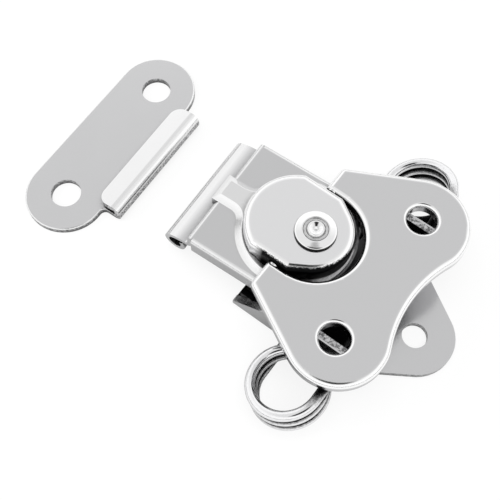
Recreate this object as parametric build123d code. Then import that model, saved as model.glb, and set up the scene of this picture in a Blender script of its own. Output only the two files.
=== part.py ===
"""Spring-loaded rotary draw latch for a flight case, with its keeper plate lying beside it.

Millimetres, +Z up. The origin is the turning axis of the handle on the underside of the base.
+X runs from the hook to the tail of the base, so the keeper lies towards -X.
"""

from build123d import *
import math
import os

# Sheets and clearances
base_sheet = 1.2
link_sheet = 0.8
wing_sheet = 2.0
keeper_sheet = 1.2
carriage_sheet = 1.0
running_gap = 0.08
slide_gap = 0.1
loose_gap = 0.2

# Heights
wing_top = 13.2
link_top = 9.6
collar_rise = 0.9
cam_proud = 0.7

# Base channel
base_half_width = 12.6
base_front = -6.3
rail_rear = 12.4
rail_height = 5.8
rail_front_height = 1.5
ramp_end = -0.3
rest_tab_front = 8.0
rest_tab_rear = 15.2
tail_hole_x = 20.2
tail_radius = 6.4
tail_hole_radius = 2.05
side_hole_x = 11.5
side_hole_y = 4.0
front_corner = 0.6
guide_lip_reach = 1.0
guide_lip_length = 2.2

# Cam and pivot
cam_throw = 3.4
cam_nose_radius = 8.2
cam_flat_y = 7.45
cam_heel_x = -0.9
cam_heel_radius = 6.9
cam_rim_round = 1.3
journal_radius = 7.8
retainer_radius = 8.9
retainer_sheet = 1.2
pivot_radius = 2.0
pivot_head_radius = 3.25
pivot_head_rise = 1.25
pivot_tail_radius = 2.7
pivot_tail_height = 0.4
bush_radius = 3.6

# Wing handle
wing_front = -3.2
horn_outer_y = 12.5
horn_corner = 1.0
lobe_x = 11.65
lobe_y = 11.0
lobe_radius = 7.9
waist_depth = 2.15
shoulder_share = 0.85
shoulder_place = 0.97
wing_hole_y = 11.75
wing_hole_radius = 2.35
wing_cutout_radius = 7.5
wing_edge_round = 0.95
wing_hole_round = 0.6
hinge_setback = 1.0
trunnion_radius = 0.8
trunnion_depth = 1.7
horn_side_gap = 0.12

# Hook link
link_half_width = 10.6
link_front = -16.0
link_flange_bottom = 6.2
link_edge_round = 0.9
link_lean = 2.6
collar_foot_radius = 9.5
link_end_radius = 9.9
front_bend_radius = 0.5
front_bend_angle = 86.0
back_bend_radius = 1.0
back_bend_angle = 84.0
shelf_radius = 7.0
shelf_turn = 24.0
roll_z = 4.3
roll_mid_radius = 1.55
roll_turn = 280.0
roll_inset = 0.4
rib_half_width = 2.5
rib_overhang = 1.6
rib_blend = 2.0
emboss_slope = 50.0
emboss_round = 0.25

# Torsion springs
wire_radius = 0.8
coil_radius = 5.52
coil_pitch = 1.8
coil_turns = 2.5
near_coil_x = 9.5
near_coil_gap = 0.68
far_coil_x = 8.1
far_coil_gap = 0.13
coil_tilt = 14.3
leg_ease_radius = 12.0
front_leg_reach = 6.8
rear_leg_inside = 2.6
slot_play = 0.15
carriage_travel = 2.5

# Carriage
carriage_front = -5.6
carriage_rear = 8.2

# Keeper
keeper_x = -41.4
keeper_y = -1.34
keeper_turn = 2.3
keeper_half_width = 6.9
keeper_hole_spacing = 25.4
keeper_hole_radius = 2.57
lip_half_length = 11.2
lip_outer_x = 10.7
lip_foot_radius = 1.0
lip_rise = 0.5
lip_crown_radius = 0.9
lip_fold = 100.0
lip_run = 3.1
lip_corner = 2.0
lip_notch_round = 1.0
keeper_edge_round = 0.25

# Levels and places that follow from the sizes above
wing_bottom = wing_top - wing_sheet
hinge_z = wing_top - wing_sheet / 2
hinge_x = wing_front + hinge_setback
cam_top = wing_top + cam_proud
collar_top = link_top + collar_rise
cam_step = collar_top + loose_gap
link_bottom = link_top - link_sheet
retainer_top = link_bottom - loose_gap
retainer_bottom = retainer_top - retainer_sheet
carriage_bottom = base_sheet + slide_gap
carriage_top = carriage_bottom + carriage_sheet
rail_inner_y = base_half_width - base_sheet
rest_tab_top = wing_bottom - slot_play
horn_inner_y = cam_flat_y + horn_side_gap
leg_clear_radius = wire_radius + slot_play
coil_reach = base_half_width + coil_radius + wire_radius
near_coil_y = coil_reach + near_coil_gap
far_coil_y = coil_reach + far_coil_gap
coil_rise_angle = math.atan(coil_pitch / (2 * math.pi * coil_radius))
coil_height = coil_pitch * coil_turns
leg_ease_rise = leg_ease_radius * (1 - math.cos(coil_rise_angle))
leg_level = coil_height / 2 + leg_ease_rise
leg_side = coil_radius * math.cos(math.radians(coil_tilt)) - leg_level * math.sin(math.radians(coil_tilt))
leg_drop = coil_radius * math.sin(math.radians(coil_tilt)) + leg_level * math.cos(math.radians(coil_tilt))
front_leg_z = base_sheet + slide_gap + wire_radius
coil_z = front_leg_z + leg_drop
rear_leg_z = coil_z + leg_drop
shoulder_radius = shoulder_share * lobe_radius
shoulder_y = shoulder_place * lobe_y
waist_radius = (shoulder_y**2 + waist_depth**2) / (2 * waist_depth) - shoulder_radius
wing_waist_x = lobe_x + lobe_radius - waist_depth


def tube(radius, low, high, x=0.0, y=0.0):
    """Upright cylinder between two heights."""
    return Pos(x, y, low) * extrude(Circle(radius), amount=high - low)


def slab(x0, x1, y0, y1, z0, z1):
    """Box between two corners."""
    return Pos(x0, y0, z0) * Box(x1 - x0, y1 - y0, z1 - z0, align=Align.MIN)


def both_sides(shape):
    """The shape and its mirror image across the latch's middle plane."""
    return shape + mirror(shape, about=Plane.XZ)


def for_each_spring(make):
    """What is made for the far spring's place, and the mirror image of what is made for the near one's."""
    return make(far_coil_x) + mirror(make(near_coil_x), about=Plane.XZ)


def side_plate(points, y0, y1):
    """Flat plate standing along X, drawn as a side view in X and Z, between two widths."""
    face = Plane.XZ * make_face(Polyline(*points, close=True))
    return Pos(0, y1, 0) * extrude(face, amount=y1 - y0)


def cross_rod(radius, x, z, y0, y1):
    """Round rod along Y."""
    return Pos(x, y1, z) * extrude(Plane.XZ * Circle(radius), amount=y1 - y0)


def bent_strip(start, heading, moves, sheet, half_width):
    """Bent sheet: its mid line is followed by runs and by bends (radius, turn), then widened along Y."""
    at, angle = Vector(*start), heading
    upper, lower = [], []
    for move in moves:
        along = Vector(math.cos(math.radians(angle)), math.sin(math.radians(angle)))
        left = Vector(-along.Y, along.X)
        if len(move) == 1:
            goal = at + along * move[0]
            for side, edges in ((sheet / 2, upper), (-sheet / 2, lower)):
                edges.append(Line(at + left * side, goal + left * side))
            at = goal
            continue
        radius, turn = move
        hand = math.copysign(1, turn)
        centre = at + left * radius * hand

        def on_arc(share, side):
            spin = math.radians(angle + turn * share - 90 * hand)
            return centre + Vector(math.cos(spin), math.sin(spin)) * (radius - side * hand)

        for side, edges in ((sheet / 2, upper), (-sheet / 2, lower)):
            edges.append(ThreePointArc(on_arc(0, side), on_arc(0.5, side), on_arc(1, side)))
        at, angle = on_arc(1, 0), angle + turn
    caps = [Line(upper[0] @ 0, lower[0] @ 0), Line(upper[-1] @ 1, lower[-1] @ 1)]
    section = make_face(upper + lower + caps)
    return Pos(0, half_width, 0) * extrude(Plane.XZ * section, amount=2 * half_width)


def base_plate():
    """Channel-shaped base: tapered tail, ramped side rails and the tabs that carry the folded wing."""
    straight = Pos((base_front + rail_rear) / 2, 0) * Rectangle(
        rail_rear - base_front, 2 * base_half_width
    )
    tail = Pos(tail_hole_x, 0) * Circle(tail_radius)
    outline = make_hull(straight.edges() + tail.edges())
    body = extrude(outline, amount=base_sheet)
    rail = side_plate(
        [
            (base_front, 0),
            (base_front, rail_front_height),
            (ramp_end, rail_height),
            (rest_tab_front, rail_height),
            (rest_tab_front, rest_tab_top),
            (rest_tab_rear, rest_tab_top),
            (rest_tab_rear, rail_height - base_sheet),
            (rail_rear, base_sheet),
            (rail_rear, 0),
        ],
        rail_inner_y,
        base_half_width,
    )
    body += both_sides(rail)
    bottom_sides = body.edges().filter_by(Axis.X).group_by(Axis.Z)[0]
    body = fillet(bottom_sides, front_corner)
    lip_z = carriage_top + slide_gap
    for lip_front in (carriage_front, carriage_rear - guide_lip_length):
        lip = slab(
            lip_front,
            lip_front + guide_lip_length,
            rail_inner_y - guide_lip_reach,
            rail_inner_y,
            lip_z,
            lip_z + base_sheet,
        )
        body += both_sides(lip)
    body -= tube(tail_hole_radius, 0, base_sheet, tail_hole_x)
    body -= both_sides(tube(tail_hole_radius, 0, base_sheet, side_hole_x, side_hole_y))
    return body - for_each_spring(leg_passages)


def leg_passages(coil_x):
    """Slot for the moving front leg and rear-open notch for the fixed rear leg, in the far rail."""
    inside, outside = rail_inner_y - slide_gap, base_half_width + slide_gap
    front_x, rear_x = coil_x - leg_side, coil_x + leg_side
    slot = slab(
        front_x - carriage_travel - leg_clear_radius,
        front_x + leg_clear_radius,
        inside,
        outside,
        base_sheet,
        front_leg_z + leg_clear_radius,
    )
    notch = slab(
        rear_x,
        rest_tab_rear + slide_gap,
        inside,
        outside,
        rear_leg_z - leg_clear_radius,
        rear_leg_z + leg_clear_radius,
    )
    return slot + notch + cross_rod(leg_clear_radius, rear_x, rear_leg_z, inside, outside)


def spring_carriage():
    """Plate that slides in the channel, carries the pivot and has a notch for each spring's front leg."""
    half_width = rail_inner_y - slide_gap
    body = slab(carriage_front, carriage_rear, -half_width, half_width, carriage_bottom, carriage_top)
    notch_start, notch_end = front_leg_reach - slide_gap, half_width + slide_gap
    body -= for_each_spring(
        lambda coil_x: cross_rod(leg_clear_radius, coil_x - leg_side, front_leg_z, notch_start, notch_end)
    )
    body -= tube(pivot_radius + running_gap / 2, carriage_bottom, carriage_top)
    return body - tube(
        pivot_tail_radius + running_gap,
        carriage_bottom,
        carriage_bottom + pivot_tail_height + running_gap,
    )


def pivot_rivet():
    """Rivet on which the cam turns: flush tail in the carriage, spun head with a raised button."""
    seat = cam_top + running_gap
    tail_low = carriage_bottom + running_gap / 2
    tail_high = tail_low + pivot_tail_height
    profile = Polyline(
        (0, tail_low),
        (pivot_tail_radius, tail_low),
        (pivot_tail_radius, tail_high),
        (pivot_radius, tail_high),
        (pivot_radius, seat),
        (pivot_head_radius * 0.92, seat),
        (pivot_head_radius, seat + pivot_head_rise * 0.3),
        (pivot_head_radius * 0.97, seat + pivot_head_rise * 0.55),
        (pivot_head_radius * 0.9, seat + pivot_head_rise * 0.68),
        (pivot_head_radius * 0.68, seat + pivot_head_rise * 0.82),
        (pivot_head_radius * 0.62, seat + pivot_head_rise * 0.78),
        (pivot_head_radius * 0.5, seat + pivot_head_rise * 0.74),
        (pivot_head_radius * 0.4, seat + pivot_head_rise),
        (pivot_head_radius * 0.2, seat + pivot_head_rise),
        (0, seat + pivot_head_rise * 0.55),
        close=True,
    )
    return revolve(Plane.XZ * make_face(profile), axis=Axis.Z)


def pivot_bush():
    """Spacer sleeve between the carriage and the cam."""
    low, high = carriage_top, retainer_bottom - slide_gap
    return tube(bush_radius, low, high) - tube(pivot_radius + running_gap / 2, low, high)


def cam_drum():
    """Egg-shaped cam head on a round eccentric journal, with the hinge sockets of the wing."""
    nose = Pos(-cam_throw, 0) * Circle(cam_nose_radius)
    heel = Pos(cam_heel_x, 0) * Circle(cam_heel_radius)
    outline = make_hull(nose.edges() + heel.edges()) & Rectangle(4 * cam_nose_radius, 2 * cam_flat_y)
    head = Pos(0, 0, cam_step) * extrude(outline, amount=cam_top - cam_step)
    head = fillet(head.faces().sort_by(Axis.Z)[-1].edges(), cam_rim_round)
    body = head + tube(journal_radius, retainer_top, cam_step, -cam_throw)
    body -= tube(pivot_radius + running_gap, retainer_top, cam_top)
    socket_end = cam_flat_y - trunnion_depth - slide_gap
    socket = cross_rod(trunnion_radius + running_gap, hinge_x, hinge_z, socket_end, cam_flat_y + 1)
    return body - both_sides(socket)


def cam_retainer():
    """Disc under the link that keeps it on the journal."""
    body = tube(retainer_radius, retainer_bottom, retainer_top, -cam_throw)
    return body - tube(pivot_radius + running_gap, retainer_bottom, retainer_top)


def wing_handle():
    """Two-lobed folding handle whose horns straddle the cam and turn in it on stub trunnions."""
    discs = [Pos(lobe_x, side * lobe_y) * Circle(lobe_radius) for side in (1, -1)]
    corner_x = wing_front + horn_corner
    corner_y = horn_outer_y - horn_corner
    discs += [Pos(corner_x, side * corner_y) * Circle(horn_corner) for side in (1, -1)]
    outline = make_hull([edge for disc in discs for edge in disc.edges()])
    outline -= Pos(wing_waist_x + waist_radius, 0) * Circle(waist_radius)
    waist_ends = outline.vertices().group_by(Axis.X)[-1]
    waist_ends = waist_ends.filter_by(lambda end: abs(end.Y) < lobe_y - slide_gap)
    outline = fillet(waist_ends, shoulder_radius)
    reach = wing_cutout_radius - wing_front
    cutout = Circle(wing_cutout_radius) + Pos(-reach / 2, 0) * Rectangle(reach, 2 * horn_inner_y)
    outline -= cutout
    body = Pos(0, 0, wing_bottom) * extrude(outline, amount=wing_sheet)
    body = fillet(body.faces().sort_by(Axis.Z)[-1].edges(), wing_edge_round)
    for side in (1, -1):
        body -= tube(wing_hole_radius, wing_bottom, wing_top, lobe_x, side * wing_hole_y)
    rims = body.edges().filter_by(GeomType.CIRCLE).group_by(Axis.Z)[-1]
    rims = rims.filter_by(lambda edge: edge.radius < wing_hole_radius * 1.01)
    body = fillet(rims, wing_hole_round)
    stub_start = cam_flat_y - trunnion_depth
    stub = cross_rod(trunnion_radius, hinge_x, hinge_z, stub_start, horn_inner_y + 1)
    return body + both_sides(stub)


def rolled_hook():
    """Front of the link: bends sharply down, turns out level, arches over and rolls under into a curl."""
    steep = math.radians(front_bend_angle)
    level = math.radians(front_bend_angle - back_bend_angle)
    rolling = level + math.radians(shelf_turn)
    mid_z = link_top - link_sheet / 2
    drop = mid_z - roll_z - front_bend_radius * (1 - math.cos(steep))
    drop -= back_bend_radius * (math.cos(level) - math.cos(steep))
    drop -= shelf_radius * (math.cos(level) - math.cos(rolling)) + roll_mid_radius * math.cos(rolling)
    moves = [
        (front_bend_radius, front_bend_angle),
        (drop / math.sin(steep),),
        (back_bend_radius, -back_bend_angle),
        (shelf_radius, shelf_turn),
        (roll_mid_radius, roll_turn),
    ]
    return bent_strip((link_front, mid_z), 180.0, moves, link_sheet, link_half_width - roll_inset)


def hook_link():
    """Pressed link: collar on the cam journal, stiffening rib, side flanges and rolled hook."""
    plate = slab(link_front, -cam_throw, -link_half_width, link_half_width, link_bottom, link_top)
    flange = slab(
        link_front,
        -cam_throw,
        link_half_width - link_sheet,
        link_half_width,
        link_flange_bottom,
        link_top,
    )
    body = plate + both_sides(flange)
    top_sides = body.edges().filter_by(Axis.X).group_by(Axis.Z)[-1]
    body = fillet(top_sides, link_edge_round)
    body += tube(link_end_radius, link_bottom, link_top, -cam_throw)
    body += rolled_hook()
    foot = Pos(-cam_throw, 0) * Circle(collar_foot_radius)
    rib_front = link_front - rib_overhang
    rib = Pos((rib_front - cam_throw) / 2, 0) * Rectangle(-cam_throw - rib_front, 2 * rib_half_width)
    outline = foot + rib
    corners = outline.vertices().sort_by(Axis.X)[2:4]
    outline = fillet(corners, rib_blend)
    emboss = Pos(0, 0, link_top) * extrude(outline, amount=collar_rise, taper=emboss_slope)
    emboss = fillet(emboss.faces().sort_by(Axis.Z)[-1].edges(), emboss_round)
    filler_bottom = link_top - 2 * collar_rise
    filler = slab(rib_front, link_front, -rib_half_width, rib_half_width, filler_bottom, link_top)
    body += emboss + filler
    body -= tube(journal_radius + running_gap, link_bottom, collar_top, -cam_throw)
    return Pos(-cam_throw, 0, 0) * Rot(0, 0, link_lean) * Pos(cam_throw, 0, 0) * body


def torsion_spring(coil_x, coil_y):
    """Near spring: low front leg, two and a half tilted turns and high rear leg, with eased joins."""
    coil = Pos(0, 0, -coil_height / 2) * Rot(0, 0, 180) * Helix(coil_pitch, coil_height, coil_radius)
    ease = coil_rise_angle / 2
    inset = leg_ease_radius * math.sin(coil_rise_angle)
    half_inset = inset - leg_ease_radius * math.sin(ease)
    half_rise = leg_ease_rise - leg_ease_radius * (1 - math.cos(ease))
    start, end = coil @ 0, coil @ 1
    front_join = start + Vector(0, inset, -leg_ease_rise)
    rear_join = end + Vector(0, inset, leg_ease_rise)
    front_run = coil_y - front_leg_reach - inset
    rear_run = coil_y - rail_inner_y + rear_leg_inside - inset
    path = Wire(
        [
            Line(front_join + Vector(0, front_run, 0), front_join),
            ThreePointArc(front_join, start + Vector(0, half_inset, -half_rise), start),
            coil,
            ThreePointArc(end, end + Vector(0, half_inset, half_rise), rear_join),
            Line(rear_join, rear_join + Vector(0, rear_run, 0)),
        ]
    )
    section = Plane(origin=path @ 0, z_dir=path % 0) * Circle(wire_radius)
    wire = sweep(section, path=path)
    by_length = path.length * math.pi * wire_radius**2
    print("spring volume", round(wire.volume, 2), "and from its length", round(by_length, 2))
    return Pos(coil_x, -coil_y, coil_z) * Rot(0, -coil_tilt, 0) * wire


def keeper_plate():
    """Strike plate: round-ended, two screw holes, and an upturned lip folded back over the plate."""
    outline = Rectangle(2 * keeper_half_width, keeper_hole_spacing)
    for side in (1, -1):
        outline += Pos(0, side * keeper_hole_spacing / 2) * Circle(keeper_half_width)
    tongue = Pos(lip_corner / 2, 0) * Rectangle(2 * keeper_half_width + lip_corner, 2 * lip_half_length)
    outline += tongue
    notches = outline.vertices().filter_by(lambda corner: abs(corner.X - keeper_half_width) < slide_gap)
    notches = notches.filter_by(lambda corner: abs(corner.Y) < lip_half_length + slide_gap)
    outline = fillet(notches, lip_notch_round)
    body = extrude(outline, amount=keeper_sheet)
    rim = body.faces().sort_by(Axis.Z)[-1].edges()
    rim = rim.filter_by(lambda edge: edge.center().X < keeper_half_width / 2)
    body = fillet(rim, keeper_edge_round)
    foot_run = lip_outer_x - keeper_sheet / 2 - lip_foot_radius
    lip = bent_strip(
        (0, keeper_sheet / 2),
        0.0,
        [
            (foot_run,),
            (lip_foot_radius, 90.0),
            (lip_rise,),
            (lip_crown_radius, lip_fold),
            (lip_run,),
        ],
        keeper_sheet,
        lip_half_length,
    )
    lip_free_x = min(vertex.X for vertex in lip.vertices() if vertex.Z > keeper_sheet * 1.5)
    window = Pos(lip_free_x + lip_outer_x, 0) * RectangleRounded(
        2 * lip_outer_x, 2 * lip_half_length, lip_corner
    )
    corners_end = lip_free_x + lip_corner
    corners = slab(0, corners_end, -lip_half_length, lip_half_length, keeper_sheet * 1.5, lip_outer_x)
    corners -= extrude(window, amount=lip_outer_x)
    body += lip - corners
    for side in (1, -1):
        body -= tube(keeper_hole_radius, 0, keeper_sheet, 0, side * keeper_hole_spacing / 2)
    return Pos(keeper_x, keeper_y, 0) * Rot(0, 0, keeper_turn) * body


nodes = {
    "base_plate": base_plate(),
    "spring_carriage": spring_carriage(),
    "pivot_rivet": pivot_rivet(),
    "pivot_bush": pivot_bush(),
    "cam_drum": cam_drum(),
    "cam_retainer": cam_retainer(),
    "wing_handle": wing_handle(),
    "hook_link": hook_link(),
    "torsion_spring_near": torsion_spring(near_coil_x, near_coil_y),
    "torsion_spring_far": mirror(torsion_spring(far_coil_x, far_coil_y), about=Plane.XZ),
    "keeper_plate": keeper_plate(),
}
os.makedirs("parts", exist_ok=True)
for name, shape in nodes.items():
    export_step(shape, f"parts/{name}.step")
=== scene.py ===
# %% [markdown]
# # A sprung rotary draw latch for a flight case
# The latch is pressed from bright plated steel: a channel-shaped base, a cam drum turned by a
# folding wing handle, a link with a rolled hook, two wire springs and a keeper plate lying beside it.
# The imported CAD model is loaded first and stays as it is. This lesson dresses it: camera, studio,
# plated finishes, and the wire and rivet that need finer surfaces than the CAD solids have.

# %% Load the frame
import bpy
import math
import numpy as np
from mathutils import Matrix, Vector


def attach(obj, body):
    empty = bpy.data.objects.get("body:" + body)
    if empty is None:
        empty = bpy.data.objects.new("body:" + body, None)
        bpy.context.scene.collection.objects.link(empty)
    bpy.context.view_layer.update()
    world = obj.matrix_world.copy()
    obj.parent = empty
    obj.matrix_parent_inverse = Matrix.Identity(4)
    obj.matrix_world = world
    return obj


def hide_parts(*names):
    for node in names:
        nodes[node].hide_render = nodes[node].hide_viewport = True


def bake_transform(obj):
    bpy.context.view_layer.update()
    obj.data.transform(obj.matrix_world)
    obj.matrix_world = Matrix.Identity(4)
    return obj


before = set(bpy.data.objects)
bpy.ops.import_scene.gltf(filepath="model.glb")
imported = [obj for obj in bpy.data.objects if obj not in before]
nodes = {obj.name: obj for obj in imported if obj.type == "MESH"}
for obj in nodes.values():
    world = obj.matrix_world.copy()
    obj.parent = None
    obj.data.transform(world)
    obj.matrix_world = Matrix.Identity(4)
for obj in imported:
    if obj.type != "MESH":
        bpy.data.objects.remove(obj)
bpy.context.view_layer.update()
MM = 0.001

# %% [markdown]
# ## Camera
# The photograph looks down on the latch at about 66 degrees, with the keeper at the upper left.
# The camera was found by fitting the round holes and straight edges, so it is written down as a
# place, a look direction and a focal length in pixels of the 500-pixel frame.

# %% Camera
FRAME_PX = 500
FOCAL_PX = 827.94
SENSOR_MM = 36.0
LOOK_AT = Vector((-9.766, -3.331, 0.0)) * MM
CAMERA_ELEVATION = math.radians(65.93)
CAMERA_DISTANCE = 137.89 * MM
LOOK_ALONG = Vector((-0.5997, 0.8002, 0.0))
NEAREST_SEEN = 1 * MM
FARTHEST_SEEN = 10.0

camera_data = bpy.data.cameras.new("photo_camera")
camera_data.sensor_width = SENSOR_MM
camera_data.lens = FOCAL_PX * SENSOR_MM / FRAME_PX
camera_data.clip_start = NEAREST_SEEN
camera_data.clip_end = FARTHEST_SEEN
camera = bpy.data.objects.new("photo_camera", camera_data)
bpy.context.scene.collection.objects.link(camera)
to_camera = -LOOK_ALONG * math.cos(CAMERA_ELEVATION) + Vector((0, 0, math.sin(CAMERA_ELEVATION)))
camera.location = LOOK_AT + to_camera * CAMERA_DISTANCE
camera.rotation_mode = "QUATERNION"
camera.rotation_quaternion = (-to_camera).to_track_quat("-Z", "Y")
bpy.context.scene.camera = camera
bpy.context.scene.view_settings.view_transform = "Standard"
print("camera at", [round(c / MM, 1) for c in camera.location], "mm")

# %% [markdown]
# ## Two small helpers
# Colours are written as the sRGB hex values that a paint program shows. Shaders work in linear
# light, so one function converts them. The other adds a node, sets its values and links its inputs.


# %% Helpers
def linear(hex_colour):
    """sRGB hex to linear RGBA: up to 0.04045 divide by 12.92, above it the 2.4 power curve."""
    parts = np.array([int(hex_colour[i:i + 2], 16) / 255 for i in (1, 3, 5)])
    curve = np.where(parts <= 0.04045, parts / 12.92, ((parts + 0.055) / 1.055) ** 2.4)
    return (*curve.tolist(), 1.0)


def add_node(tree, kind, settings=None, **inputs):
    """Add one node; settings are its properties, inputs are values or sockets by input name or index."""
    node = tree.nodes.new(kind)
    for name, value in (settings or {}).items():
        setattr(node, name, value)
    for name, value in inputs.items():
        socket = node.inputs[int(name[1:]) if name[0] == "_" else name.replace("_", " ")]
        if isinstance(value, bpy.types.NodeSocket):
            tree.links.new(value, socket)
        else:
            socket.default_value = value
    return node


WHITE = linear("#FFFFFF")
print("white in linear light", WHITE)

# %% [markdown]
# ## The room that the plating mirrors
# The photograph is a white cut-out. Bright plating is a mirror, so what it shows is the room:
# a pale ceiling, a bright band at mid height that draws white lines on every rounded edge, and a
# dark band low down that outlines the walls. A picture of a real room could be wrapped round the
# scene. A ramp over the height of the ray is enough here, and each band can be set by itself.
# One round dark patch is where the camera stands: it draws the thin dark line along the edges that
# face the viewer.

# %% Room
CEILING = 0.84
BRIGHT_BAND = 1.08
LOW_BAND = 0.08
# Rise of the ray, from level at 0 to straight up at 1, and the light there.
BANDS = ((0.0, LOW_BAND), (0.04, LOW_BAND), (0.14, BRIGHT_BAND), (0.66, BRIGHT_BAND), (0.84, CEILING),
         (1.0, CEILING))
DARK_PATCH = math.radians(21.0)
DARK_CORE = 0.6 * DARK_PATCH
DARK_LEVEL = 0.03

world = bpy.data.worlds.new("studio_room")
world.use_nodes = True
bpy.context.scene.world = world
room = world.node_tree
room.nodes.clear()
direction = add_node(room, "ShaderNodeTexCoord").outputs["Generated"]
ray_rise = add_node(room, "ShaderNodeSeparateXYZ", Vector=direction).outputs["Z"]
ramp = add_node(room, "ShaderNodeValToRGB", Fac=ray_rise)
stops = ramp.color_ramp.elements
for place, _ in BANDS[1:-1]:
    stops.new(place)
for stop, (_, level) in zip(stops, BANDS):
    stop.color = (level, level, level, 1)
towards_camera = add_node(room, "ShaderNodeVectorMath", {"operation": "DOT_PRODUCT"},
                          _0=direction, _1=tuple(to_camera)).outputs["Value"]
patch = add_node(room, "ShaderNodeMapRange", Value=towards_camera, From_Min=math.cos(DARK_PATCH),
                 From_Max=math.cos(DARK_CORE), To_Min=1.0, To_Max=DARK_LEVEL)
print("room bands from low to high", [(round(stop.position, 2), round(stop.color[0], 2)) for stop in stops])

# %% [markdown]
# ## Who sees the room
# The world gives the room to reflected rays, plain white to the camera, and an even soft light to
# everything else. So the background is white without more light on the latch.

# %% World
FILL_LIGHT = 0.55

rays = add_node(room, "ShaderNodeLightPath").outputs
shiny = add_node(room, "ShaderNodeMath", {"operation": "MAXIMUM"},
                 _0=rays["Is Glossy Ray"], _1=rays["Is Transmission Ray"]).outputs[0]
fill = add_node(room, "ShaderNodeBackground", Color=WHITE, Strength=FILL_LIGHT)
seen = add_node(room, "ShaderNodeBackground", Color=ramp.outputs["Color"], Strength=patch.outputs[0])
white = add_node(room, "ShaderNodeBackground", Color=WHITE, Strength=1.0)
mirrored = add_node(room, "ShaderNodeMixShader", _0=shiny, _1=fill.outputs[0], _2=seen.outputs[0])
shown = add_node(room, "ShaderNodeMixShader", _0=rays["Is Camera Ray"],
                 _1=mirrored.outputs[0], _2=white.outputs[0])
add_node(room, "ShaderNodeOutputWorld", Surface=shown.outputs[0])
print("world of", len(room.nodes), "nodes, fill light", FILL_LIGHT)

# %% [markdown]
# ## Floor
# The latch lies on a sheet of white paper. It is one large square just under the pieces, so that
# nothing touches it.

# %% Floor
FLOOR_HALF = 3.0
FLOOR_DROP = 0.02 * MM

floor_mesh = bpy.data.meshes.new("pale_floor")
corners = np.array([(-1, -1), (1, -1), (1, 1), (-1, 1)]) * FLOOR_HALF
floor_mesh.from_pydata(np.c_[corners, np.full(4, -FLOOR_DROP)].tolist(), [], [(0, 1, 2, 3)])
floor = bpy.data.objects.new("pale_floor", floor_mesh)
bpy.context.scene.collection.objects.link(floor)
print("floor", 2 * FLOOR_HALF, "m wide")

# %% [markdown]
# ## Paper
# The camera sees the paper as nearly pure white with a faint shadow, which fades out with the
# distance, so that no horizon shows. Reflected rays see greyer paper close to the latch, because
# shaded ground is what the plating mirrors in its crevices, and white paper farther off. All other
# light meets plain matt paper.

# %% Paper
PAPER = linear("#EDEDED")
SHADED_PAPER = linear("#B3B3B3")
SEEN_SHADE = 0.16
SHADE_CENTRE = (-2 * MM, -6 * MM, 0)
SHADED_RADIUS = 17 * MM
CLEAR_RADIUS = 35 * MM
SHADOW_REACH = 90 * MM

paper = bpy.data.materials.new("white_paper_floor")
paper.use_nodes = True
sheet = paper.node_tree
sheet.nodes.clear()
rays = add_node(sheet, "ShaderNodeLightPath").outputs
spot = add_node(sheet, "ShaderNodeTexCoord").outputs["Object"]
away = add_node(sheet, "ShaderNodeVectorMath", {"operation": "DISTANCE"},
                _0=spot, _1=SHADE_CENTRE).outputs["Value"]
clear = add_node(sheet, "ShaderNodeMapRange", Value=away, From_Min=SHADED_RADIUS,
                 From_Max=CLEAR_RADIUS).outputs[0]
matt = add_node(sheet, "ShaderNodeBsdfDiffuse", Color=PAPER).outputs[0]
shade = add_node(sheet, "ShaderNodeBsdfDiffuse", Color=SHADED_PAPER).outputs[0]
glow = add_node(sheet, "ShaderNodeEmission", Color=WHITE, Strength=1.0).outputs[0]
mirrored = add_node(sheet, "ShaderNodeMixShader", _0=clear, _1=shade, _2=glow).outputs[0]
plain = add_node(sheet, "ShaderNodeMixShader", _0=rays["Is Glossy Ray"], _1=matt, _2=mirrored).outputs[0]
whiteness = add_node(sheet, "ShaderNodeMapRange", Value=away, From_Min=SHADOW_REACH,
                     From_Max=2 * SHADOW_REACH, To_Min=1 - SEEN_SHADE, To_Max=1.0).outputs[0]
lifted = add_node(sheet, "ShaderNodeMixShader", _0=whiteness, _1=matt, _2=glow).outputs[0]
paper_look = add_node(sheet, "ShaderNodeMixShader", _0=rays["Is Camera Ray"], _1=plain, _2=lifted)
add_node(sheet, "ShaderNodeOutputMaterial", Surface=paper_look.outputs[0])
floor_mesh.materials.append(paper)
print("paper shaded to", CLEAR_RADIUS / MM, "mm, shadow seen to", 2 * SHADOW_REACH / MM, "mm")

# %% [markdown]
# ## Lamps
# Two soft boxes, one above and one at the side, give the latch its soft shadow. The plating doesn't
# mirror them, because the room already holds every reflection.

# %% Lamps
# Places and sizes in metres.
LAMPS = {
    "ceiling_softbox": {"place": (0.05, -0.05, 0.6), "size": 0.5, "watts": 3.0},
    "side_softbox": {"place": (-0.5, -0.35, 0.35), "size": 0.4, "watts": 2.0},
}
for lamp_name, lamp_values in LAMPS.items():
    lamp_data = bpy.data.lights.new(lamp_name, "AREA")
    lamp_data.size = lamp_values["size"]
    lamp_data.energy = lamp_values["watts"]
    lamp = bpy.data.objects.new(lamp_name, lamp_data)
    lamp.location = lamp_values["place"]
    lamp.rotation_mode = "QUATERNION"
    lamp.rotation_quaternion = Vector(lamp_values["place"]).to_track_quat("Z", "Y")
    lamp.visible_glossy = False
    bpy.context.scene.collection.objects.link(lamp)
print("lamps", list(LAMPS))

# %% [markdown]
# ## Painted shade in recesses
# Gaps and corners are painted dark, nearly black and rough: this is painted shade.
# That could be painted by hand for each gap. An ambient-occlusion node does it for
# all of them: it measures how closed-in a point is. A little noise makes the border of the painted shade
# ragged.

# %% Painted shade in recesses
# How far from a closed-in place the painted shade is felt.
RECESS_SHADE_REACH = 2.6 * MM
SHELTER_SAMPLES = 12
SHADE_NOISE_SIZE = 0.35 * MM
SHADE_NOISE_SHARE = 0.24


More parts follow.
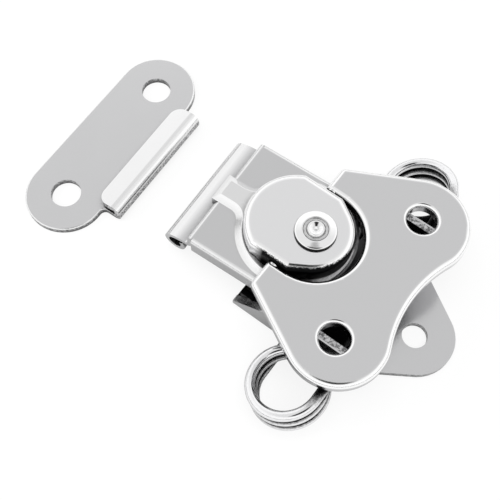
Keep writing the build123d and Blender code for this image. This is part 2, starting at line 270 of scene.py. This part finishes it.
def free_of_recess_shade(tree, where, full_shade_at, no_shade_at, reach):
    """Openness within the reach plus a share of noise, eased from 0, full painted shade, at dull to 1, no
    painted shade, at clean.
    """
    shelter = add_node(tree, "ShaderNodeAmbientOcclusion", {"samples": SHELTER_SAMPLES}, Distance=reach)
    shade_noise = add_node(tree, "ShaderNodeTexNoise", Vector=where, Scale=1 / SHADE_NOISE_SIZE, Detail=3.0,
                    Roughness=0.7)
    ragged = add_node(tree, "ShaderNodeMath", {"operation": "MULTIPLY_ADD"},
                      _0=shade_noise.outputs[0], _1=SHADE_NOISE_SHARE, _2=shelter.outputs["AO"])
    return add_node(tree, "ShaderNodeMapRange", {"interpolation_type": "SMOOTHSTEP"},
                    Value=ragged.outputs[0], From_Min=full_shade_at, From_Max=no_shade_at).outputs[0]


print("recesses are felt up to", RECESS_SHADE_REACH / MM, "mm away")

# %% [markdown]
# ## Painted highlights on edges
# Rounded edges and raised ribs are painted whiter than the flats, as highlights. A rounded edge is
# where the surface normal is neither upright nor level, so the mix goes by the normal.
# Ribs are the highest places, so their mix goes by height.

# %% Painted highlights
# Near white, painted on rounded edges and on crests as a highlight.
PAINTED_HIGHLIGHT = linear("#FCFCFC")
# Lift is the upright share of the normal: 1 on a flat, 0 on a wall.
FLAT_LIFT = 0.998
ROUND_LIFT = 0.95
WALL_LIFT = 0.05
SHOULDER_LIFT = 0.30
CREST_BLEND_MM = 0.5
CREST_SHARE = 0.55


def highlighted_plate(tree, where, colour, edge_highlight, crest_mm):
    """Plate colour, mixed to a painted highlight where the lift is between wall and flat, and on crests."""
    plate = linear(colour)
    if edge_highlight:
        normal = add_node(tree, "ShaderNodeTexCoord").outputs["Normal"]
        lift = add_node(tree, "ShaderNodeSeparateXYZ", Vector=normal).outputs["Z"]
        off_flat = add_node(tree, "ShaderNodeMapRange", Value=lift, From_Min=FLAT_LIFT,
                            From_Max=ROUND_LIFT).outputs[0]
        off_wall = add_node(tree, "ShaderNodeMapRange", Value=lift, From_Min=WALL_LIFT,
                            From_Max=SHOULDER_LIFT, To_Max=edge_highlight).outputs[0]
        edge_glint = add_node(tree, "ShaderNodeMath", {"operation": "MULTIPLY"},
                          _0=off_flat, _1=off_wall).outputs[0]
        plate = add_node(tree, "ShaderNodeMix", {"data_type": "RGBA"},
                         _0=edge_glint, _6=plate, _7=PAINTED_HIGHLIGHT).outputs[2]
    if crest_mm:
        height = add_node(tree, "ShaderNodeSeparateXYZ", Vector=where).outputs["Z"]
        raised = add_node(tree, "ShaderNodeMapRange", Value=height, From_Min=crest_mm * MM,
                          From_Max=(crest_mm + CREST_BLEND_MM) * MM, To_Max=CREST_SHARE).outputs[0]
        plate = add_node(tree, "ShaderNodeMix", {"data_type": "RGBA"},
                         _0=raised, _6=plate, _7=PAINTED_HIGHLIGHT).outputs[2]
    return plate


print("edges highlight_painted from a lift of", WALL_LIFT, "to", FLAT_LIFT)

# %% [markdown]
# ## Fine relief
# Plating on pressed sheet has a faint orange peel, which makes the edges of the reflections uneven.
# Wire has die marks along it as well. Real die marks are too fine to show, so they are drawn wider.
# Both are far too small to model, so they are bump.

# %% Relief
PEEL_SIZE = 0.7 * MM
DIE_MARK_WIDTH = 0.12 * MM
RELIEF_DEPTH = 0.02 * MM
RELIEF_STRENGTH = 0.2


def fine_relief(tree, where, drawn):
    """Bumped normal: orange peel by place and, on drawn wire, plus streaks by the wire's own marks."""
    relief = add_node(tree, "ShaderNodeTexNoise", Vector=where, Scale=1 / PEEL_SIZE, Detail=2.0).outputs[0]
    if drawn:
        along = add_node(tree, "ShaderNodeAttribute", {"attribute_name": "drawn"}).outputs["Vector"]
        streak = add_node(tree, "ShaderNodeTexNoise", Vector=along, Scale=1 / DIE_MARK_WIDTH, Detail=2.0)
        relief = add_node(tree, "ShaderNodeMath", {"operation": "ADD"},
                          _0=relief, _1=streak.outputs[0]).outputs[0]
    return add_node(tree, "ShaderNodeBump", Height=relief, Strength=RELIEF_STRENGTH,
                    Distance=RELIEF_DEPTH).outputs[0]


print("orange peel", PEEL_SIZE / MM, "mm, die marks", DIE_MARK_WIDTH / MM, "mm")

# %% [markdown]
# ## Bright plate
# Nickel over pressed steel is a grey mirror. Barrel plating leaves it a little soft, so the
# reflection is blurred, more in some places than in others. One function puts the parts together:
# a metal whose colour and gloss fall to nearly black, rough steel where shade is painted in recesses,
# and where a mask asks for it: painted shade on some pieces, bare steel on torn edges.

# %% Plating
# Nearly black: painted shade in recesses and masked places, and bare steel on torn edges and stubs.
SHADE_AND_BARE_STEEL = linear("#161617")
BARE_ROUGHNESS = 0.42
HAZE_SIZE = 6 * MM
CLEAREST = 0.8
HAZIEST = 1.25


def plated_steel(name, colour, roughness, unshaded_plate_mask=None, drawn=False, full_shade_at=0.30, no_shade_at=0.80,
                 edge_highlight=0.0, crest_mm=None, reach=RECESS_SHADE_REACH):
    """Metal that fades from plate to nearly black, rough steel where shade is painted in recesses, and where
    the mask unshaded_plate_mask is 0.
    """
    material = bpy.data.materials.new(name)
    material.use_nodes = True
    tree = material.node_tree
    tree.nodes.clear()
    where = add_node(tree, "ShaderNodeTexCoord").outputs["Object"]
    haze = add_node(tree, "ShaderNodeTexNoise", Vector=where, Scale=1 / HAZE_SIZE, Detail=4.0, Roughness=0.6)
    softness = add_node(tree, "ShaderNodeMapRange", Value=haze.outputs[0], From_Min=0.3, From_Max=0.7,
                        To_Min=roughness * CLEAREST, To_Max=roughness * HAZIEST).outputs[0]
    plated_and_unshaded = free_of_recess_shade(tree, where, full_shade_at, no_shade_at, reach)
    if unshaded_plate_mask:
        plated_and_unshaded = add_node(tree, "ShaderNodeMath", {"operation": "MULTIPLY"},
                           _0=plated_and_unshaded, _1=unshaded_plate_mask(tree, where)).outputs[0]
    plate = highlighted_plate(tree, where, colour, edge_highlight, crest_mm)
    tint = add_node(tree, "ShaderNodeMix", {"data_type": "RGBA"},
                    _0=plated_and_unshaded, _6=SHADE_AND_BARE_STEEL, _7=plate).outputs[2]
    gloss = add_node(tree, "ShaderNodeMix", _0=plated_and_unshaded, _2=BARE_ROUGHNESS, _3=softness).outputs[0]
    metal = add_node(tree, "ShaderNodeBsdfPrincipled", Base_Color=tint, Metallic=1.0, Roughness=gloss,
                     Normal=fine_relief(tree, where, drawn))
    add_node(tree, "ShaderNodeOutputMaterial", Surface=metal.outputs[0])
    return material


print("bare steel roughness", BARE_ROUGHNESS, "haze patches", HAZE_SIZE / MM, "mm")

# %% [markdown]
# ## Painted dark walls
# Under its rounded rim the wall of the cam drum is painted dark, and so is the upright wall of the
# rivet head: both are a painted dark reflection. Both are bands of height, so one mask by height serves both.
# Toward the link, ahead of front_mm along x, the drum keeps its plate. On the side that faces the
# camera the painted dark band reaches higher up the drum's rim, in specks.

# %% Painted dark walls
# Level direction toward the camera: walls facing it are painted dark higher up.
CAMERA_SIDE = (0.6, -0.8, 0.0)
# Size of the specks along the border of the painted dark band.
WALL_SPECK_SIZE = 0.18 * MM
FRONT_BLEND_MM = 1.5


def painted_dark_wall(level_mm, blend_mm, front_mm, camera_side_mm=0.0):
    """Plate left, where 0 is a painted dark reflection: none below the level and behind front_mm, rising to
    all over the blend under the level.

    Where the normal faces the camera, the painted dark level is up to camera_side_mm higher, more and less in
    specks.
    """
    def mask(tree, where):
        place = add_node(tree, "ShaderNodeSeparateXYZ", Vector=where).outputs
        normal = add_node(tree, "ShaderNodeTexCoord").outputs["Normal"]
        facing = add_node(tree, "ShaderNodeVectorMath", {"operation": "DOT_PRODUCT"},
                          _0=normal, _1=CAMERA_SIDE).outputs["Value"]
        climb = add_node(tree, "ShaderNodeMapRange", Value=facing, From_Min=0.15, From_Max=0.7,
                         To_Min=0.0, To_Max=-camera_side_mm * MM).outputs[0]
        specks = add_node(tree, "ShaderNodeTexNoise", Vector=where, Scale=1 / WALL_SPECK_SIZE, Detail=3.0)
        speckle = add_node(tree, "ShaderNodeMapRange", Value=specks.outputs[0], From_Min=0.35, From_Max=0.65,
                         To_Min=0.7, To_Max=1.2).outputs[0]
        least = add_node(tree, "ShaderNodeMath", {"operation": "MULTIPLY_ADD"},
                         _0=climb, _1=speckle, _2=place["Z"]).outputs[0]
        high = add_node(tree, "ShaderNodeMapRange", Value=least, From_Min=(level_mm - blend_mm) * MM,
                        From_Max=level_mm * MM).outputs[0]
        ahead = add_node(tree, "ShaderNodeMapRange", Value=place["X"], From_Min=front_mm * MM,
                         From_Max=(front_mm - FRONT_BLEND_MM) * MM).outputs[0]
        return add_node(tree, "ShaderNodeMath", {"operation": "MAXIMUM"}, _0=high, _1=ahead).outputs[0]
    return mask


print("dark_wall_specks", WALL_SPECK_SIZE / MM, "mm, camera_facing side", CAMERA_SIDE)

# %% [markdown]
# ## Sheared edges
# The sheets were cut with punch and die. Such an edge is partly torn: dull, with bright specks. The
# cut edges of a level sheet are the faces whose normal lies level, so the mask goes by the normal.

# %% Sheared edges
TORN_SIZE = 0.3 * MM


def sheared_walls(tree, where):
    """Plate left: torn specks where the normal lies level, all elsewhere."""
    normal = add_node(tree, "ShaderNodeTexCoord").outputs["Normal"]
    rise = add_node(tree, "ShaderNodeSeparateXYZ", Vector=normal).outputs["Z"]
    lift = add_node(tree, "ShaderNodeMath", {"operation": "ABSOLUTE"}, _0=rise).outputs[0]
    flat = add_node(tree, "ShaderNodeMapRange", Value=lift, From_Min=0.15, From_Max=0.35).outputs[0]
    specks = add_node(tree, "ShaderNodeTexNoise", Vector=where, Scale=1 / TORN_SIZE, Detail=2.0).outputs[0]
    torn = add_node(tree, "ShaderNodeMapRange", Value=specks, From_Min=0.42, From_Max=0.62,
                    To_Min=0.25, To_Max=0.85).outputs[0]
    return add_node(tree, "ShaderNodeMath", {"operation": "MAXIMUM"}, _0=flat, _1=torn).outputs[0]


print("torn specks", TORN_SIZE / MM, "mm")

# %% [markdown]
# ## Base channel
# The inside of the base channel is painted dark as shade, while its tail and the outsides of its rails
# are bright. The inner sides and cut edges of the rails are torn. These regions are boxes in the frame
# of the latch, so the mask goes by place.

# %% Base channel
RAIL_INNER = 11.4
RAIL_INNER_BLEND = 0.05
RAIL_OUTSIDE = (12.30, 12.38)
TAIL_START = (12.0, 15.0)
RAIL_SPECK_SIZE = 0.45 * MM


def channel_and_edges(tree, where):
    """Plate left on the base: specks on the rails, all on their outsides and the tail, none in the channel,
    which is painted shade.

    The cut edges of the tail and of its hole are sheared.
    """
    place = add_node(tree, "ShaderNodeSeparateXYZ", Vector=where).outputs
    out_y = add_node(tree, "ShaderNodeMath", {"operation": "ABSOLUTE"}, _0=place["Y"]).outputs[0]
    rail = add_node(tree, "ShaderNodeMapRange", Value=out_y, From_Min=RAIL_INNER * MM,
                    From_Max=(RAIL_INNER + RAIL_INNER_BLEND) * MM).outputs[0]
    tail = add_node(tree, "ShaderNodeMapRange", Value=place["X"], From_Min=TAIL_START[0] * MM,
                    From_Max=TAIL_START[1] * MM).outputs[0]
    specks = add_node(tree, "ShaderNodeTexNoise", Vector=where, Scale=1 / RAIL_SPECK_SIZE, Detail=3.0,
                      Roughness=0.7).outputs[0]
    torn = add_node(tree, "ShaderNodeMapRange", Value=specks, From_Min=0.45, From_Max=0.58,
                    To_Min=0.25, To_Max=1.0).outputs[0]
    outside = add_node(tree, "ShaderNodeMapRange", Value=out_y, From_Min=RAIL_OUTSIDE[0] * MM,
                       From_Max=RAIL_OUTSIDE[1] * MM).outputs[0]
    rail_plate = add_node(tree, "ShaderNodeMath", {"operation": "MAXIMUM"}, _0=outside, _1=torn).outputs[0]
    flat_plate = add_node(tree, "ShaderNodeMath", {"operation": "MULTIPLY"},
                          _0=tail, _1=sheared_walls(tree, where)).outputs[0]
    return add_node(tree, "ShaderNodeMix", _0=rail, _2=flat_plate, _3=rail_plate).outputs[0]


print("rails start", RAIL_INNER, "mm out, the tail", TAIL_START[0], "mm back")

# %% [markdown]
# ## Wing stubs
# The wing turns in the cam on two stubs, which are greased and dark. They lie between its horns, so
# a box by place picks them out.

# %% Wing stubs
STUB_END = 7.6
STUB_BACK = -1.0


def dark_stubs(tree, where):
    """Plate left on the wing: none on the two stubs that turn in the cam, all elsewhere."""
    place = add_node(tree, "ShaderNodeSeparateXYZ", Vector=where).outputs
    out_y = add_node(tree, "ShaderNodeMath", {"operation": "ABSOLUTE"}, _0=place["Y"]).outputs[0]
    beyond = add_node(tree, "ShaderNodeMath", {"operation": "GREATER_THAN"},
                      _0=out_y, _1=STUB_END * MM).outputs[0]
    behind = add_node(tree, "ShaderNodeMath", {"operation": "GREATER_THAN"},
                      _0=place["X"], _1=STUB_BACK * MM).outputs[0]
    return add_node(tree, "ShaderNodeMath", {"operation": "MAXIMUM"}, _0=beyond, _1=behind).outputs[0]


print("stubs end", STUB_END, "mm out")

# %% [markdown]
# ## Finishes of the CAD pieces
# The pressed sheets are nickel plated, so they are soft grey mirrors, with a painted highlight on
# their edges. The drawn cam was polished and is the palest. The pieces inside are rough grey steel,
# painted dark as shade, and show only through gaps. One material for all would be simpler, but each
# sheet has its own grey in the photograph, and its own places of painted shade and highlight.

# %% Finishes
finishes = {
    # A grey sheet, bright outside, with painted shade in the channel and a painted highlight on its edges.
    "base_plate": plated_steel("nickel_on_base_sheet", "#D2D2D3", 0.16, channel_and_edges,
                               full_shade_at=0.10, no_shade_at=0.58, edge_highlight=0.8),
    # A softer grey sheet with torn edges, painted shade in its creases and a painted highlight on the folded
    # lip.
    "keeper_plate": plated_steel("nickel_on_keeper_sheet", "#D8D8D9", 0.20, sheared_walls,
                                 full_shade_at=0.48, no_shade_at=0.98, edge_highlight=0.8, crest_mm=2.1),
    # A grey sheet with painted shade in its creases and a painted highlight on the rib, the collar and the
    # rolled hook.
    "hook_link": plated_steel("nickel_on_link_sheet", "#D0D0D1", 0.18,
                              full_shade_at=0.48, no_shade_at=0.98, edge_highlight=0.6, crest_mm=9.8),
    # A pale polished top with a painted highlight on its rim and a painted dark reflection on its wall.
    "cam_drum": plated_steel("nickel_on_drawn_cam", "#ECECED", 0.16,
                             painted_dark_wall(level_mm=12.9, blend_mm=0.6, front_mm=-4.5, camera_side_mm=1.6),
                             edge_highlight=0.9),
    # A grey sheet with the strongest painted highlight of all on its edges.
    "wing_handle": plated_steel("nickel_on_wing", "#D6D6D7", 0.16, dark_stubs, edge_highlight=1.0),
    # Painted shade: dark grey steel with a broad, blurred shine.
    "cam_retainer": plated_steel("shade_dark_retainer", "#6A6A6B", 0.30),
    "spring_carriage": plated_steel("shade_dark_carriage", "#5A5A5B", 0.32),
    "pivot_bush": plated_steel("shade_dark_bush", "#6A6A6B", 0.30),
}
for node_name, material in finishes.items():
    nodes[node_name].data.materials.clear()
    nodes[node_name].data.materials.append(material)
print("finished", len(finishes), "CAD pieces")

# %% [markdown]
# ## Skin between rings
# The springs and the rivet are both a row of closed rings with a point at each end. One function
# puts faces on such a row. The rings come as one array of ring, place round the ring, and x, y, z.


# %% Skin
def skin(name, rings, first_tip, last_tip):
    """Mesh object with quads from ring to ring and a fan of triangles from each tip; all faces wind alike."""
    count, around = rings.shape[:2]
    here = np.arange(around)
    there = (here + 1) % around
    starts = 1 + around * np.arange(count - 1)[:, None]
    quads = np.stack([starts + here, starts + here + around,
                      starts + there + around, starts + there], axis=-1).reshape(-1, 4)
    last_ring = 1 + around * (count - 1)
    tip = last_ring + around
    first_fan = np.stack([np.zeros_like(here), 1 + here, 1 + there], axis=-1)
    last_fan = np.stack([np.full_like(here, tip), last_ring + there, last_ring + here], axis=-1)
    points = np.vstack([first_tip, rings.reshape(-1, 3), last_tip]) * MM
    mesh = bpy.data.meshes.new(name)
    mesh.from_pydata(points.tolist(), [], quads.tolist() + first_fan.tolist() + last_fan.tolist())
    mesh.shade_smooth()
    piece = bpy.data.objects.new(name, mesh)
    bpy.context.scene.collection.objects.link(piece)
    print(name, len(points), "points")
    return piece


# %% [markdown]
# ## Path of a wire spring
# Each spring is one drawn wire: a low leg in the carriage, two and a half turns, and a high leg in
# the rest tab. A curve with a bevel could draw it. Here the wire is a round profile carried along
# a path, because then the die marks can run along the wire: every point knows its place round the
# wire and along it.

# %% Spring path
WIRE_RADIUS = 0.8
COIL_RADIUS = 5.52
COIL_PITCH = 1.8
COIL_TURNS = 2.5
EASE_RADIUS = 12.0
LEG_STEPS = 30
EASE_STEPS = 8
COIL_STEPS = 260


def wire_line(front_end, rear_end):
    """Mid line of a spring whose axis is Z, its heading round that axis, its slope, and its legs' height.

    The wire comes in level along -Y, eases up to the slope of the coil on a large arc, climbs round the
    coil, and eases back to level. Heading stays put on the legs; slope stays put on legs and coil.
    """
    slope = math.atan(COIL_PITCH / (2 * math.pi * COIL_RADIUS))
    half = COIL_PITCH * COIL_TURNS / 2
    ease = np.linspace(0, slope, EASE_STEPS + 2)[1:-1]
    turn = np.linspace(math.pi, math.pi + 2 * math.pi * COIL_TURNS, COIL_STEPS)
    back_off = EASE_RADIUS * (math.sin(slope) - np.sin(ease))
    lift = EASE_RADIUS * (np.cos(ease) - math.cos(slope))
    leg_height = half + EASE_RADIUS * (1 - math.cos(slope))
    leg_start = EASE_RADIUS * math.sin(slope)
    front_leg = np.linspace(front_end, leg_start, LEG_STEPS)
    rear_leg = np.linspace(leg_start, rear_end, LEG_STEPS)
    climb = np.linspace(-half, half, COIL_STEPS)
    low, high = np.full(LEG_STEPS, -leg_height), np.full(LEG_STEPS, leg_height)
    straight = np.ones(LEG_STEPS + EASE_STEPS)
    x = np.r_[-COIL_RADIUS * straight, COIL_RADIUS * np.cos(turn), COIL_RADIUS * straight]
    y = np.r_[front_leg, back_off, COIL_RADIUS * np.sin(turn), back_off[::-1], rear_leg]
    z = np.r_[low, -half - lift, climb, half + lift[::-1], high]
    heading = np.r_[turn[0] * straight, turn, turn[-1] * straight]
    slopes = np.r_[0 * low, ease, np.full(COIL_STEPS, slope), ease[::-1], 0 * high]
    return np.c_[x, y, z], heading, slopes, leg_height


print("coil of", COIL_TURNS, "turns,", 2 * COIL_RADIUS, "mm across")

# %% [markdown]
# ## Surface of the wire
# A circle is carried along the mid line, and its first and last ring are smaller, for the chamfer
# that the cutter leaves. The same grid gives each point its place for the die marks. Lengthwise
# those places are squeezed, so that the noise comes out as long streaks.

# %% Wire surface
CUT_CHAMFER = 0.18
STREAK_SQUEEZE = 0.03


def wire_rings(middle, heading, slopes, spin):
    """Mid line plus radius times (cosine of spin outward from the axis and sine of spin across the wire).

    Outward is level and away from the axis, along is square to it and rises by the slope, and across
    stands square to both.
    """
    outward = np.c_[np.cos(heading), np.sin(heading), np.zeros_like(heading)]
    along = np.c_[-np.sin(heading) * np.cos(slopes), np.cos(heading) * np.cos(slopes), np.sin(slopes)]
    across = np.cross(along, outward)
    radius = np.full(len(middle), WIRE_RADIUS)
    radius[[0, -1]] -= CUT_CHAMFER
    circle = np.cos(spin)[:, None] * outward[:, None] + np.sin(spin)[:, None] * across[:, None]
    return middle[:, None] + radius[:, None, None] * circle


def die_marks(run, spin):
    """Places on a straightened wire: x and y round it, z the squeezed run along it; tips on the axis."""
    squeezed = STREAK_SQUEEZE * run
    rings = np.stack(np.broadcast_arrays(WIRE_RADIUS * np.cos(spin), WIRE_RADIUS * np.sin(spin),
                                         squeezed[:, None]), axis=-1)
    tips = np.array([[0, 0, squeezed[0]], [0, 0, squeezed[-1]]])
    return np.vstack([tips[:1], rings.reshape(-1, 3), tips[1:]]) * MM


print("wire", 2 * WIRE_RADIUS, "mm thick with", CUT_CHAMFER, "mm chamfers")

# %% [markdown]
# ## Two springs
# The whole coil leans a little, as in the photograph. The far spring is mirrored, so its rings run
# the other way round to keep the faces outwards. The wire is drawn bright and plated, so it is a
# clear mirror, with painted shade between its turns.

# %% Springs
COIL_TILT = math.radians(14.3)
LEAN = np.array([[math.cos(COIL_TILT), 0, -math.sin(COIL_TILT)], [0, 1, 0],
                 [math.sin(COIL_TILT), 0, math.cos(COIL_TILT)]])
FRONT_LEG_Z = 2.1
FRONT_LEG_END = 6.8
REAR_LEG_END = RAIL_INNER - 2.6
COILS = {"torsion_spring_near": (9.5, -19.6), "torsion_spring_far": (8.1, 19.05)}
WIRE_SPIN = np.linspace(0, 2 * math.pi, 28, endpoint=False)

# Strong painted shade on the wire, darkest between its turns.
spring_wire = plated_steel("plated_spring_wire", "#F2F2F3", 0.09, drawn=True, full_shade_at=0.88, no_shade_at=1.13,
                           reach=4 * MM)
for spring_name, (coil_x, coil_y) in COILS.items():
    mirror, spin = ((1, 1, 1), WIRE_SPIN) if coil_y < 0 else ((1, -1, 1), WIRE_SPIN[::-1])
    middle, heading, slopes, leg_height = wire_line(abs(coil_y) - FRONT_LEG_END, abs(coil_y) - REAR_LEG_END)
    drop = COIL_RADIUS * math.sin(COIL_TILT) + leg_height * math.cos(COIL_TILT)
    centre = np.array([coil_x, coil_y, FRONT_LEG_Z + drop])
    rings = (wire_rings(middle, heading, slopes, spin) @ LEAN.T) * mirror + centre
    tips = (middle[[0, -1]] @ LEAN.T) * mirror + centre
    spring = skin(spring_name + "_wire", rings, tips[0], tips[1])
    run = np.r_[0, np.cumsum(np.linalg.norm(np.diff(middle, axis=0), axis=1))]
    marks = spring.data.attributes.new("drawn", "FLOAT_VECTOR", "POINT")
    marks.data.foreach_set("vector", die_marks(run, spin).ravel())
    spring.data.materials.append(spring_wire)
    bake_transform(spring)
    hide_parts(spring_name)
    print(spring_name, "wire", round(run[-1], 1), "mm long")

# %% [markdown]
# ## Rivet outline
# The pivot rivet is turned and then spun over: a low cone with an upright wall, and on it a button
# with a wide conical dimple, which mirrors the dark patch of the room as a wedge. A lathe profile is
# the natural way. Its points are a radius and a height, and its corners are softened by a running
# average.

# %% Rivet outline
SEAT = 13.98
SHANK = [(2.2, 1.34), (2.7, 1.36), (2.7, 1.74), (2.0, 1.74), (2.0, SEAT)]
HEAD = [(3.15, 0), (3.25, 0.08), (3.25, 0.42), (3.20, 0.52), (3.08, 0.58), (2.0, 0.88)]
BUTTON = [(1.90, 0.68), (1.55, 0.64), (1.38, 0.92), (1.25, 1.16), (1.12, 1.23), (0.36, 0.84), (0.04, 0.96)]
OUTLINE_STEPS = 420
SOFTENING_STEPS = 3


def softened(corners, steps, spread):
    """Corner line sampled evenly by length, then averaged over a short window, with its ends held."""
    run = np.r_[0, np.cumsum(np.linalg.norm(np.diff(corners, axis=0), axis=1))]
    even = np.linspace(0, run[-1], steps)
    line = np.stack([np.interp(even, run, corners[:, axis]) for axis in (0, 1)], axis=-1)
    padded = np.pad(line, ((spread, spread), (0, 0)), mode="edge")
    window = np.lib.stride_tricks.sliding_window_view(padded, 2 * spread + 1, axis=0)
    return window.mean(axis=-1)


rivet_corners = np.vstack([SHANK, np.array(HEAD + BUTTON) + (0, SEAT)])
profile = softened(rivet_corners, OUTLINE_STEPS, SOFTENING_STEPS)
print("rivet top at", round(profile[:, 1].max(), 2), "mm")

# %% [markdown]
# ## Rivet
# The outline is carried round the axis: x and y are the radius times cosine and sine of the spin. The
# rivet is plated after it is turned, so it is the clearest mirror of all, with painted shade in its
# groove and a painted dark reflection on its upright wall.

# %% Rivet
RIVET_SPIN = np.linspace(0, 2 * math.pi, 96, endpoint=False)
WALL_TOP = SEAT + 0.52

radius = profile[:, :1]
rings = np.stack(np.broadcast_arrays(radius * np.cos(RIVET_SPIN), radius * np.sin(RIVET_SPIN),
                                     profile[:, 1:]), axis=-1)
rivet = skin("pivot_rivet_spun", rings[:, ::-1], (0, 0, profile[0, 1]), (0, 0, profile[-1, 1]))
spun_nickel = plated_steel("nickel_on_spun_rivet", "#F2F2F3", 0.08,
                           painted_dark_wall(level_mm=WALL_TOP, blend_mm=0.10, front_mm=-9),
                           full_shade_at=0.64, no_shade_at=1.08, edge_highlight=1.0, reach=2 * MM)
rivet.data.materials.append(spun_nickel)
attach(rivet, "carriage")
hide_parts("pivot_rivet")
print("rivet", round(2 * radius.max(), 2), "mm across")
